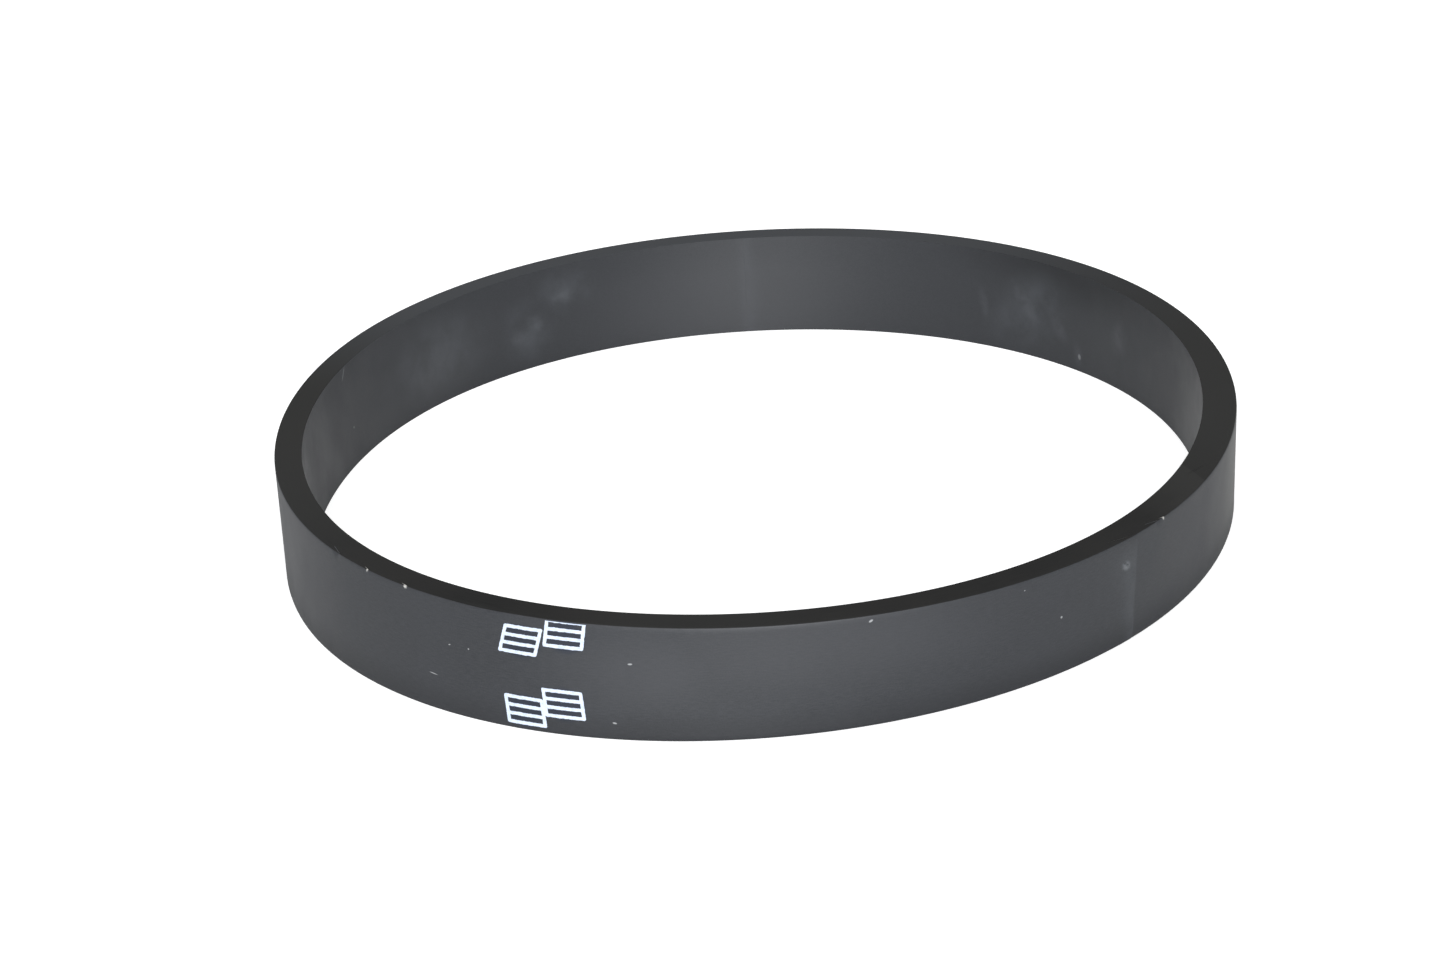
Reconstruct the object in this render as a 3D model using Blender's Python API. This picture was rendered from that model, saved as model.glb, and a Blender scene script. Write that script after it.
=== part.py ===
"""Endless flat rubber drive belt, standing on one cut edge.

Three calendered rubber plies are wrapped one over another on a mandrel, each closed by its
own skived lap joint, then cured together, ground and slit to width. Four printed size marks
lie on the outer face.

Frame: metres, +Z up along the belt's width, origin at the centre of the bottom cut edge's box.
"""

import math

import bmesh
import bpy

MM = 0.001
TURN = 2 * math.pi

# Driving dimensions of the belt
INSIDE_LENGTH = 350 * MM  # mean length round the inner, running face
BELT_WIDTH = 12.7 * MM
BELT_THICKNESS = 3.18 * MM
MEAN_OUTSIDE_RADIUS = INSIDE_LENGTH / TURN + BELT_THICKNESS

# How the slack belt stands: a slightly squared oval in plan, its wall racked over a little
OVALITY = 0.0517
OVAL_TURN = math.radians(-7.4)
EGG_SHAPE = 0.004
SQUARENESS = 0.0036
FLARE = 0.027
RACK_TOWARDS_X = 0.032
RACK_TOWARDS_Y = 0.0395
TWIST = 0.0393
TWIST_TURN = math.radians(-45.0)
THREE_WAY_WARP = 0.0385
BOX_CENTRE_X = 0.201 * MM  # from the point the radii are measured from
BOX_CENTRE_Y = 0.129 * MM

# Plies, from the outer face inwards: name, and the angle of its lap joint in degrees
PLIES = (("outer_ply", -49.8), ("middle_ply", -29.8), ("inner_ply", 91.4))
PLY_CLEARANCE = 0.06 * MM
PLY_THICKNESS = (BELT_THICKNESS - (len(PLIES) - 1) * PLY_CLEARANCE) / len(PLIES)
PLY_STEPS = 180
LAP_LENGTH = 4.0 * MM
LAP_OPENING = 0.24 * MM  # round the belt; the skive's slope makes it about PLY_CLEARANCE across

# Printed marks: a ladder of three cells in white ink, on a film over the outer face
MARK_LENGTH = 4.4 * MM
MARK_STROKE = 0.38 * MM
MARK_CELL_HEIGHT = 0.55 * MM
MARK_CELLS = 3
MARK_CURVE_STEPS = 5
INK_THICKNESS = 0.05 * MM
INK_CLEARANCE = 0.02 * MM
EDGE_MARGIN = 0.05 * MM
# name, centre angle in degrees, height of the lowest rung, sideways lean, closed at the top
MARKS = (
    ("print_mark_upper_left", -115.5, 8.35 * MM, 0.26, True),
    ("print_mark_upper_right", -110.5, 9.65 * MM, 0.14, False),
    ("print_mark_lower_left", -114.6, 0.55 * MM, -0.12, True),
    ("print_mark_lower_right", -110.5, 1.85 * MM, -0.10, True),
)

# Base colours, roughness
RUBBER_COLOUR = (0.052, 0.055, 0.060, 1.0)
RUBBER_ROUGHNESS = 0.55
INK_COLOUR = (0.66, 0.73, 0.88, 1.0)
INK_ROUGHNESS = 0.5
SHARP_ANGLE = math.radians(30)


def clear_scene():
    """Remove whatever the scene holds."""
    for existing in list(bpy.data.objects):
        bpy.data.objects.remove(existing, do_unlink=True)


def outer_radius(angle, height):
    """Distance from the belt's axis to its outer face."""
    plan = (
        1.0
        - OVALITY * math.cos(2 * (angle - OVAL_TURN))
        + EGG_SHAPE * math.cos(3 * angle)
        - SQUARENESS * math.cos(4 * angle)
    )
    rack = (
        FLARE
        + RACK_TOWARDS_X * math.cos(angle)
        + RACK_TOWARDS_Y * math.sin(angle)
        + TWIST * math.cos(2 * (angle - TWIST_TURN))
        - THREE_WAY_WARP * math.cos(3 * angle)
    )
    return MEAN_OUTSIDE_RADIUS * plan + (height - BELT_WIDTH / 2) * rack


def belt_point(angle, height, depth):
    """A point in the belt's wall, depth metres in from the outer face."""
    radius = outer_radius(angle, height) - depth
    along_x = radius * math.cos(angle) - BOX_CENTRE_X
    along_y = radius * math.sin(angle) - BOX_CENTRE_Y
    return (along_x, along_y, height)


def plain_material(name, colour, roughness):
    """A Principled material of one colour."""
    material = bpy.data.materials.new(name)
    material.use_nodes = True
    shader = material.node_tree.nodes["Principled BSDF"]
    shader.inputs["Base Color"].default_value = colour
    shader.inputs["Roughness"].default_value = roughness
    shader.inputs["Metallic"].default_value = 0.0
    material.diffuse_color = colour
    return material


def finish_object(name, shape, material):
    """Turn a bmesh into a named object, smooth between its sharp edges."""
    mesh = bpy.data.meshes.new(name)
    shape.to_mesh(mesh)
    shape.free()
    mesh.materials.append(material)
    mesh.shade_smooth()
    mesh.set_sharp_from_angle(angle=SHARP_ANGLE)
    placed = bpy.data.objects.new(name, mesh)
    bpy.context.scene.collection.objects.link(placed)
    return placed


def wrap_ply(name, lap_angle, outer_depth):
    """One rubber strip, once round the belt, its two skived ends lying over each other."""
    inner_depth = outer_depth + PLY_THICKNESS
    half_skive = LAP_LENGTH / 2 / MEAN_OUTSIDE_RADIUS
    wrap = TURN - LAP_OPENING / MEAN_OUTSIDE_RADIUS
    shape = bmesh.new()
    sections = []
    for step in range(PLY_STEPS + 1):
        angle = lap_angle + wrap * step / PLY_STEPS
        corners = (
            (angle + half_skive, 0.0, outer_depth),
            (angle + half_skive, BELT_WIDTH, outer_depth),
            (angle - half_skive, BELT_WIDTH, inner_depth),
            (angle - half_skive, 0.0, inner_depth),
        )
        sections.append([shape.verts.new(belt_point(*corner)) for corner in corners])
    for near, far in zip(sections, sections[1:]):
        for side in range(4):
            turned = (side + 1) % 4
            shape.faces.new((near[side], far[side], far[turned], near[turned]))
    shape.faces.new(sections[0])
    shape.faces.new(sections[-1])
    bmesh.ops.recalc_face_normals(shape, faces=shape.faces)
    return finish_object(name, shape, plain_material(name, RUBBER_COLOUR, RUBBER_ROUGHNESS))


def mark_heights(lowest, closed_top):
    """Heights of the lines between the mark's rungs and its open cells."""
    heights = [lowest]
    for _ in range(MARK_CELLS):
        heights.append(heights[-1] + MARK_STROKE)
        heights.append(heights[-1] + MARK_CELL_HEIGHT)
    if closed_top:
        heights.append(heights[-1] + MARK_STROKE)
    else:
        heights[-1] = BELT_WIDTH - EDGE_MARGIN
    return heights


def print_mark(name, centre_angle, lowest, lean, closed_top):
    """A ladder of ink strokes that follows the curve of the outer face."""
    heights = mark_heights(lowest, closed_top)
    clear_length = MARK_LENGTH - 2 * MARK_STROKE
    places = [-MARK_LENGTH / 2]
    for step in range(MARK_CURVE_STEPS + 1):
        places.append(clear_length * (step / MARK_CURVE_STEPS - 0.5))
    places.append(MARK_LENGTH / 2)
    shape = bmesh.new()
    grid = []
    for height in heights:
        shift = lean * (height - lowest)
        row = []
        for place in places:
            angle = centre_angle + (place + shift) / MEAN_OUTSIDE_RADIUS
            row.append(shape.verts.new(belt_point(angle, height, -INK_CLEARANCE)))
        grid.append(row)
    for row in range(len(heights) - 1):
        is_rung = row % 2 == 0
        for column in range(len(places) - 1):
            is_rail = column in (0, len(places) - 2)
            if is_rung or is_rail:
                low, high = grid[row], grid[row + 1]
                shape.faces.new((low[column], low[column + 1], high[column + 1], high[column]))
    loose = [corner for corner in shape.verts if not corner.link_faces]
    bmesh.ops.delete(shape, geom=loose, context="VERTS")
    mark = finish_object(name, shape, plain_material(name, INK_COLOUR, INK_ROUGHNESS))
    film = mark.modifiers.new("ink film", "SOLIDIFY")
    film.thickness = INK_THICKNESS
    film.offset = 1.0
    return mark


def build_belt():
    """Wrap the plies from the outer face inwards, then print the marks."""
    for layer, (name, lap_angle) in enumerate(PLIES):
        wrap_ply(name, math.radians(lap_angle), layer * (PLY_THICKNESS + PLY_CLEARANCE))
    for name, centre_angle, lowest, lean, closed_top in MARKS:
        print_mark(name, math.radians(centre_angle), lowest, lean, closed_top)


clear_scene()
build_belt()
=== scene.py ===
import math

import bpy
from mathutils import Matrix, Vector


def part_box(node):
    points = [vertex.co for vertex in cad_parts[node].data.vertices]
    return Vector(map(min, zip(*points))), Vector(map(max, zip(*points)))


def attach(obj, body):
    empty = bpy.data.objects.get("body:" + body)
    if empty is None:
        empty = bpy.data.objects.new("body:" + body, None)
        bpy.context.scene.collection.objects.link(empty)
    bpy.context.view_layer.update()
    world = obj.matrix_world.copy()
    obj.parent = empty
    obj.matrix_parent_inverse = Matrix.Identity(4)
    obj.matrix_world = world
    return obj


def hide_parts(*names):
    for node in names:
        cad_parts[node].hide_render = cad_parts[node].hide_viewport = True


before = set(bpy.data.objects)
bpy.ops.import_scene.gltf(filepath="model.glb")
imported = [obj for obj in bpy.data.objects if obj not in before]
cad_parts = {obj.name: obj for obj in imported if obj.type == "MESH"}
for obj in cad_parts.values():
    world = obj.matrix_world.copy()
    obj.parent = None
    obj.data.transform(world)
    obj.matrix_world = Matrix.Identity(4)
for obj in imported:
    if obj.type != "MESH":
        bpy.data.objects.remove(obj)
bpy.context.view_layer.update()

MM = 0.001
TURN = 2 * math.pi

# ---------------------------------------------------------------------------------------------
# The studio: a wide pale sheet to stand the belt on, and soft light from all round it.
# A white room fills in from every side, one lamp hangs overhead, two light the front from low
# down, and a long lens looks down on the belt. The paper is exposed to pure white for the lens.
# ---------------------------------------------------------------------------------------------
SHEET_SIZE = 3.0
PAPER_LIFT = 0.55
LENS_LENGTH = 97.5
SENSOR_WIDTH = 36.0
LENS_DISTANCE = 462.0 * MM
LENS_TILT = math.radians(22.77)
LENS_ROLL = math.radians(-3.418)
LOOK_AT = Vector((-4.199 * MM, -0.129 * MM, 3.11 * MM))


def put(tree, kind, inputs=None, **settings):
    """A new node, with its settings made and its inputs set or linked."""
    node = tree.nodes.new(kind)
    for name, value in settings.items():
        setattr(node, name, value)
    for name, value in (inputs or {}).items():
        if isinstance(value, bpy.types.NodeSocket):
            tree.links.new(value, node.inputs[name])
        else:
            node.inputs[name].default_value = value
    return node


sheet_mesh = bpy.data.meshes.new("studio_sheet")
reach = SHEET_SIZE / 2
corners = [(-reach, -reach, 0.0), (reach, -reach, 0.0), (reach, reach, 0.0), (-reach, reach, 0.0)]
sheet_mesh.from_pydata(corners, [], [(0, 1, 2, 3)])
sheet = bpy.data.objects.new("studio_sheet", sheet_mesh)
bpy.context.scene.collection.objects.link(sheet)
paper = bpy.data.materials.new("studio paper")
paper.use_nodes = True
paper_shader = paper.node_tree.nodes["Principled BSDF"]
paper_shader.inputs["Base Color"].default_value = (0.86, 0.86, 0.86, 1.0)
paper_shader.inputs["Roughness"].default_value = 0.9
paper_shader.inputs["Specular IOR Level"].default_value = 0.0
paper_shader.inputs["Emission Color"].default_value = (1.0, 1.0, 1.0, 1.0)
seen_by_lens = put(paper.node_tree, "ShaderNodeLightPath").outputs["Is Camera Ray"]
lift = put(paper.node_tree, "ShaderNodeMath", {0: seen_by_lens, 1: PAPER_LIFT}, operation="MULTIPLY")
paper.node_tree.links.new(lift.outputs[0], paper_shader.inputs["Emission Strength"])
sheet_mesh.materials.append(paper)

room = bpy.data.worlds.new("white room")
bpy.context.scene.world = room
room.use_nodes = True
room.node_tree.nodes["Background"].inputs["Color"].default_value = (0.97, 0.985, 1.0, 1.0)
room.node_tree.nodes["Background"].inputs["Strength"].default_value = 0.45


def soft_lamp(name, place, aim, size, power, colour):
    """A square area lamp that points at a place."""
    data = bpy.data.lights.new(name, "AREA")
    data.shape = "SQUARE"
    data.size = size
    data.energy = power
    data.color = colour
    lamp = bpy.data.objects.new(name, data)
    bpy.context.scene.collection.objects.link(lamp)
    lamp.location = place
    lamp.rotation_euler = (Vector(aim) - Vector(place)).to_track_quat("-Z", "Y").to_euler()
    return lamp


soft_lamp("overhead", (0.0, 0.0, 1.2), (0, 0, 0), 0.7, 4.3, (1.0, 0.99, 0.97))
soft_lamp("front_low", (0.0, -1.2, 0.35), (0, 0, 0), 0.6, 13.5, (0.97, 0.985, 1.0))
soft_lamp("front_left", (-0.8, -0.9, 0.5), (0, 0, 0), 0.5, 1.5, (0.97, 0.985, 1.0))

lens = bpy.data.cameras.new("studio_camera")
lens.lens = LENS_LENGTH
lens.sensor_width = SENSOR_WIDTH
lens.clip_start = 0.01
camera = bpy.data.objects.new("studio_camera", lens)
bpy.context.scene.collection.objects.link(camera)
backward = Vector((0.0, -math.cos(LENS_TILT), math.sin(LENS_TILT)))
level_right = Vector((1.0, 0.0, 0.0))
level_up = backward.cross(level_right)
right = level_right * math.cos(LENS_ROLL) + level_up * math.sin(LENS_ROLL)
up = backward.cross(right)
camera.matrix_world = Matrix.Translation(LOOK_AT + backward * LENS_DISTANCE) @ Matrix(
    (right, up, backward)
).transposed().to_4x4()
bpy.context.scene.camera = camera
bpy.context.scene.view_settings.view_transform = "Standard"

# ---------------------------------------------------------------------------------------------
# The belt's wall: the place in the finished belt of each point of a flat strip of rubber.
# Wrapping a strip bends it round a slightly egg-shaped oval and leans it over its width, as
# the slack belt stands. Everything below is laid out flat and then bent by this rule.
# ---------------------------------------------------------------------------------------------
outer_low, outer_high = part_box("outer_ply")
BELT_WIDTH = outer_high.z - outer_low.z
INSIDE_LENGTH = 350 * MM
BELT_THICKNESS = 3.18 * MM
WALL = {
    "Mean Outside Radius": INSIDE_LENGTH / TURN + BELT_THICKNESS,
    "Width": BELT_WIDTH,
    "Ovality": 0.0517,
    "Oval Turn": math.radians(-7.4),
    "Egg Shape": 0.004,
    "Squareness": 0.0036,
    "Flare": 0.027,
    "Rack Towards X": 0.032,
    "Rack Towards Y": 0.0395,
    "Twist": 0.0393,
    "Twist Turn": math.radians(-45.0),
    "Three Way Warp": 0.0385,
    "Wall Thickness": BELT_THICKNESS,
    "Outward Swell": 0.45 * MM,
    "Outward Turn": math.radians(-57.0),
    "Inward Swell": 0.50 * MM,
    "Inward Turn": math.radians(-14.0),
    "Centre X": 0.201 * MM,
    "Centre Y": 0.129 * MM,
}
RADIUS = WALL["Mean Outside Radius"]


def maths(tree, operation, *values):
    """The result of one Math node."""
    node = put(tree, "ShaderNodeMath", dict(enumerate(values)), operation=operation)
    return node.outputs[0]


def open_tree(name, kind, inputs, outputs):
    """A new node group with named sockets: the group, its input node and its output node."""
    tree = bpy.data.node_groups.new(name, kind)
    for socket_name, socket_type in inputs:
        tree.interface.new_socket(socket_name, in_out="INPUT", socket_type=socket_type)
    for socket_name, socket_type in outputs:
        tree.interface.new_socket(socket_name, in_out="OUTPUT", socket_type=socket_type)
    return tree, put(tree, "NodeGroupInput"), put(tree, "NodeGroupOutput")


FLOAT, VECTOR = "NodeSocketFloat", "NodeSocketVector"
INTEGER, GEOMETRY, MATERIAL = "NodeSocketInt", "NodeSocketGeometry", "NodeSocketMaterial"
WALL_SOCKETS = [(name, FLOAT) for name in WALL]

bend, given, result = open_tree(
    "bend round the belt", "GeometryNodeTree", [("Flat Place", VECTOR)] + WALL_SOCKETS,
    [("Place", VECTOR)],
)
flat = put(bend, "ShaderNodeSeparateXYZ", {0: given.outputs["Flat Place"]})
angle = maths(bend, "DIVIDE", flat.outputs["X"], given.outputs["Mean Outside Radius"])
cosine = maths(bend, "COSINE", angle)
sine = maths(bend, "SINE", angle)


def wave(tree, amount, turns, angle, start):
    """An amount times the cosine of so many turns of the angle past its start."""
    past = maths(tree, "SUBTRACT", angle, start)
    return maths(tree, "MULTIPLY", amount, maths(tree, "COSINE", maths(tree, "MULTIPLY", past, turns)))


def hump(tree, amount, angle, centre, tightness):
    """An amount that is full on one side of the belt and fades to nothing on the other."""
    swing = maths(tree, "COSINE", maths(tree, "SUBTRACT", angle, centre))
    share = maths(tree, "MULTIPLY", maths(tree, "ADD", swing, 1.0), 0.5)
    return maths(tree, "MULTIPLY", amount, maths(tree, "POWER", share, tightness))


oval = wave(bend, given.outputs["Ovality"], 2.0, angle, given.outputs["Oval Turn"])
egg = wave(bend, given.outputs["Egg Shape"], 3.0, angle, 0.0)
squared = wave(bend, given.outputs["Squareness"], 4.0, angle, 0.0)
rounded_oval = maths(bend, "SUBTRACT", 1.0, oval)
shaped = maths(bend, "SUBTRACT", maths(bend, "ADD", rounded_oval, egg), squared)
plan = maths(bend, "MULTIPLY", given.outputs["Mean Outside Radius"], shaped)
rack_x = maths(bend, "MULTIPLY", given.outputs["Rack Towards X"], cosine)
rack_y = maths(bend, "MULTIPLY", given.outputs["Rack Towards Y"], sine)
twist = wave(bend, given.outputs["Twist"], 2.0, angle, given.outputs["Twist Turn"])
warp = wave(bend, given.outputs["Three Way Warp"], 3.0, angle, 0.0)
racked = maths(bend, "ADD", maths(bend, "ADD", rack_x, rack_y), given.outputs["Flare"])
rack = maths(bend, "SUBTRACT", maths(bend, "ADD", racked, twist), warp)
half_width = maths(bend, "MULTIPLY", given.outputs["Width"], 0.5)
lean = maths(bend, "MULTIPLY", maths(bend, "SUBTRACT", flat.outputs["Z"], half_width), rack)
reach_out = maths(bend, "SUBTRACT", maths(bend, "ADD", plan, lean), flat.outputs["Y"])

# The wall is a little thick at the right: outwards at its front, inwards nearer its end
inner_share = maths(bend, "DIVIDE", flat.outputs["Y"], given.outputs["Wall Thickness"])
outer_share = maths(bend, "SUBTRACT", 1.0, inner_share)
outward = hump(bend, given.outputs["Outward Swell"], angle, given.outputs["Outward Turn"], 4.0)
inward = hump(bend, given.outputs["Inward Swell"], angle, given.outputs["Inward Turn"], 8.0)
reach_out = maths(bend, "ADD", reach_out, maths(bend, "MULTIPLY", outward, outer_share))
reach_out = maths(bend, "SUBTRACT", reach_out, maths(bend, "MULTIPLY", inward, inner_share))
across = maths(bend, "MULTIPLY", reach_out, cosine)
away = maths(bend, "MULTIPLY", reach_out, sine)
bent = put(
    bend, "ShaderNodeCombineXYZ",
    {
        "X": maths(bend, "SUBTRACT", across, given.outputs["Centre X"]),
        "Y": maths(bend, "SUBTRACT", away, given.outputs["Centre Y"]),
        "Z": flat.outputs["Z"],
    },
)
bend.links.new(bent.outputs[0], result.inputs["Place"])


def made_by(tree, name, mesh, values):
    """The plain mesh object that a geometry tree makes when its inputs have these values."""
    source = bpy.data.objects.new(name + "_source", mesh)
    bpy.context.scene.collection.objects.link(source)
    modifier = source.modifiers.new(tree.name, "NODES")
    modifier.node_group = tree
    for item in tree.interface.items_tree:
        if item.in_out == "INPUT" and item.name in values:
            modifier[item.identifier] = values[item.name]
    flatten = source.modifiers.new("flat where broad", "WEIGHTED_NORMAL")
    flatten.keep_sharp = True
    depsgraph = bpy.context.evaluated_depsgraph_get()
    made = bpy.data.meshes.new_from_object(source.evaluated_get(depsgraph), depsgraph=depsgraph)
    made.name = name
    bpy.data.objects.remove(source)
    piece = bpy.data.objects.new(name, made)
    bpy.context.scene.collection.objects.link(piece)
    return piece


# ---------------------------------------------------------------------------------------------
# Rubber finishes. The belt is black rubber: ground matt on the outside, sliced with a wet
# knife at the edges and smooth off the mandrel inside, with a pale bloom that rises to the
# surface in clouds. Some broad pale and dark patches on the faces are painted light and shade.
# Patterns lie in the flat strip's own sizes, which each ply carries.
# ---------------------------------------------------------------------------------------------
def cloud(tree, place, size, detail, roughness=0.5):
    """Soft noise from 0 to 1, with lumps of about this size in metres."""
    noise = put(
        tree, "ShaderNodeTexNoise",
        {"Vector": place, "Scale": 1.0 / size, "Detail": detail, "Roughness": roughness},
    )
    return noise.outputs["Fac"]


def ramp(tree, value, start, end):
    """0 at the start value, 1 at the end value, and smooth between them."""
    node = put(
        tree, "ShaderNodeMapRange", {0: value, 1: start, 2: end, 3: 0.0, 4: 1.0},
        interpolation_type="SMOOTHSTEP",
    )
    return node.outputs[0]


def stretched(tree, place, along, deep, high):
    """The strip's place, divided by these lengths along, through and across the strip."""
    node = put(
        tree, "ShaderNodeVectorMath", {0: place, 1: (1 / along, 1 / deep, 1 / high)},
        operation="MULTIPLY",
    )
    return node.outputs[0]


# Fine grain: lines from the grinding stone over a grit of rubber crumb
grain, given, result = open_tree(
    "rubber grain", "ShaderNodeTree",
    [("Place", VECTOR), ("Grit Size", FLOAT), ("Line Length", FLOAT), ("Line Share", FLOAT)],
    [("Height", FLOAT), ("Tone", FLOAT)],
)
per_grit = maths(grain, "DIVIDE", 1.0, given.outputs["Grit Size"])
grit = put(
    grain, "ShaderNodeTexNoise",
    {"Vector": given.outputs["Place"], "Scale": per_grit, "Detail": 3.0, "Roughness": 0.6},
)
shrink = put(grain, "ShaderNodeCombineXYZ", {"Y": 1.0, "Z": 1.0})
grain.links.new(
    maths(grain, "DIVIDE", given.outputs["Grit Size"], given.outputs["Line Length"]),
    shrink.inputs["X"],
)
drawn_out = put(
    grain, "ShaderNodeVectorMath", {0: given.outputs["Place"], 1: shrink.outputs[0]},
    operation="MULTIPLY",
)
lines = put(
    grain, "ShaderNodeTexNoise",
    {"Vector": drawn_out.outputs[0], "Scale": per_grit, "Detail": 2.0, "Roughness": 0.5},
)
blend = put(
    grain, "ShaderNodeMix",
    {"Factor": given.outputs["Line Share"], "A": grit.outputs["Fac"], "B": lines.outputs["Fac"]},
)
grain.links.new(blend.outputs[0], result.inputs["Height"])
grain.links.new(ramp(grain, blend.outputs[0], 0.25, 0.75), result.inputs["Tone"])

# Flecks: lone specks of dust or chalk, one cell in a few, of mixed sizes
flecks, given, result = open_tree(
    "flecks", "ShaderNodeTree",
    [("Place", VECTOR), ("Size", FLOAT), ("Share", FLOAT)], [("Mask", FLOAT)],
)
cells = put(flecks, "ShaderNodeTexVoronoi", {"Vector": given.outputs["Place"], "Scale": 1.0})
chance = put(flecks, "ShaderNodeSeparateColor", {0: cells.outputs["Color"]})
chosen = maths(flecks, "LESS_THAN", chance.outputs[0], given.outputs["Share"])
spread = maths(flecks, "MULTIPLY", given.outputs["Size"], chance.outputs[1])
closeness = maths(flecks, "SUBTRACT", spread, cells.outputs["Distance"])
spot = ramp(flecks, maths(flecks, "DIVIDE", closeness, given.outputs["Size"]), 0.0, 0.3)
flecks.links.new(maths(flecks, "MULTIPLY", spot, chosen), result.inputs["Mask"])

# Lap streak: the pale upright smear beside the line where a ply's end was buffed and stuck
# down. It fades over a breadth to the left of the line and over the softness to its right.
streak, given, result = open_tree(
    "lap streak", "ShaderNodeTree",
    [
        ("Place", VECTOR), ("From Line", FLOAT), ("Height Share", FLOAT),
        ("Top Breadth", FLOAT), ("Foot Breadth", FLOAT), ("Line Softness", FLOAT),
    ],
    [("Mask", FLOAT)],
)
wander = maths(streak, "SUBTRACT", cloud(streak, given.outputs["Place"], 6 * MM, 2.0), 0.5)
off_line = maths(
    streak, "ADD", given.outputs["From Line"], maths(streak, "MULTIPLY", wander, 0.5 * MM)
)
breadth = put(
    streak, "ShaderNodeMapRange",
    {
        0: given.outputs["Height Share"], 1: 0.0, 2: 1.0,
        3: given.outputs["Foot Breadth"], 4: given.outputs["Top Breadth"],
    },
).outputs[0]
breadths = maths(streak, "DIVIDE", maths(streak, "MINIMUM", off_line, 0.0), breadth)
left_fall = maths(
    streak, "EXPONENT", maths(streak, "MULTIPLY", maths(streak, "POWER", breadths, 2.0), -1.0)
)
right_fall = maths(
    streak, "SUBTRACT", 1.0, ramp(streak, off_line, 0.0, given.outputs["Line Softness"])
)
patchy = ramp(streak, cloud(streak, given.outputs["Place"], 2.2 * MM, 4.0, 0.6), 0.2, 0.7)
patchy = maths(streak, "MULTIPLY_ADD", patchy, 0.6, 0.4)
fall = maths(streak, "MULTIPLY", left_fall, right_fall)
streak.links.new(maths(streak, "MULTIPLY", fall, patchy), result.inputs["Mask"])


def place_group(tree, group, values):
    """A node that uses one of the groups above."""
    node = tree.nodes.new("ShaderNodeGroup")
    node.node_tree = group
    for name, value in values.items():
        if isinstance(value, bpy.types.NodeSocket):
            tree.links.new(value, node.inputs[name])
        else:
            node.inputs[name].default_value = value
    return node


def tinted(tree, colour, mask, tint):
    """A colour that turns to the tint where the mask is 1."""
    node = put(
        tree, "ShaderNodeMix", {0: mask, 6: colour, 7: tint}, data_type="RGBA", blend_type="MIX"
    )
    return node.outputs[2]


def rubber(name, specular):
    """A rubber material: its tree, its shader and the places and marks that the ply carries."""
    material = bpy.data.materials.new(name)
    material.use_nodes = True
    tree = material.node_tree
    shader = tree.nodes["Principled BSDF"]
    shader.inputs["Metallic"].default_value = 0.0
    shader.inputs["Specular IOR Level"].default_value = specular
    strip_place = put(tree, "ShaderNodeAttribute", attribute_name="strip_place").outputs["Vector"]
    from_lap = put(tree, "ShaderNodeAttribute", attribute_name="from_lap").outputs["Fac"]
    torn = put(tree, "ShaderNodeAttribute", attribute_name="scuff").outputs["Fac"]
    scuff = ramp(tree, torn, 0.45, 0.85)
    return material, tree, shader, strip_place, from_lap, scuff


def round_place(tree, place):
    """The strip's place with its distance round the belt counted from -180 to 180 degrees."""
    parts = put(tree, "ShaderNodeSeparateXYZ", {0: place})
    half_round = math.pi * RADIUS
    counted = maths(tree, "WRAP", parts.outputs["X"], half_round, -half_round)
    return put(
        tree, "ShaderNodeCombineXYZ",
        {"X": counted, "Y": parts.outputs["Y"], "Z": parts.outputs["Z"]},
    ).outputs[0]


def patch(tree, place, degrees, height, length, breadth, slant=0.0, solid=0.1):
    """A round patch at a place on the belt: 1 in its solid middle, 0 past its half sizes."""
    centre = (math.radians(degrees) * RADIUS, 0.0, height)
    away = put(tree, "ShaderNodeVectorMath", {0: place, 1: centre}, operation="SUBTRACT")
    turned = put(
        tree, "ShaderNodeVectorRotate", {"Vector": away.outputs[0], "Angle": math.radians(slant)},
        rotation_type="Y_AXIS",
    )
    flattened = stretched(tree, turned.outputs[0], length, 1.0, breadth)
    far = put(tree, "ShaderNodeVectorMath", {0: flattened}, operation="LENGTH")
    return maths(tree, "SUBTRACT", 1.0, ramp(tree, far.outputs["Value"], solid, 1.0))


def strongest(tree, masks):
    """At each place, the strongest of several masks."""
    total = masks[0]
    for mask in masks[1:]:
        total = maths(tree, "MAXIMUM", total, mask)
    return total


def scaled_mask(tree, mask, share):
    """A mask at a share of its strength."""
    return maths(tree, "MULTIPLY", mask, share)


LAP_LENGTH = 4.0 * MM

# Outer face: ground, matt and faintly blue, paler in broad patches of painted highlight that
# stand for reflected light, darker at the foot with painted shade, with a navy stain round each
# mark, the lap streak, a blotch, flecks, a scratch and torn burrs
ground_rubber, tree, shader, place, from_lap, scuff = rubber("ground outer rubber", 0.5)
around = round_place(tree, place)
height_share = maths(
    tree, "DIVIDE", put(tree, "ShaderNodeSeparateXYZ", {0: place}).outputs["Z"], BELT_WIDTH
)
fine = place_group(
    tree, grain, {"Place": place, "Grit Size": 0.16 * MM, "Line Length": 0.9 * MM, "Line Share": 0.45}
)
broad = ramp(tree, cloud(tree, place, 9 * MM, 3.0), 0.3, 0.7)
colour = tinted(tree, (0.017, 0.019, 0.023, 1), fine.outputs["Tone"], (0.037, 0.039, 0.044, 1))
colour = tinted(tree, colour, scaled_mask(tree, broad, 0.25), (0.040, 0.043, 0.050, 1))
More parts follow.
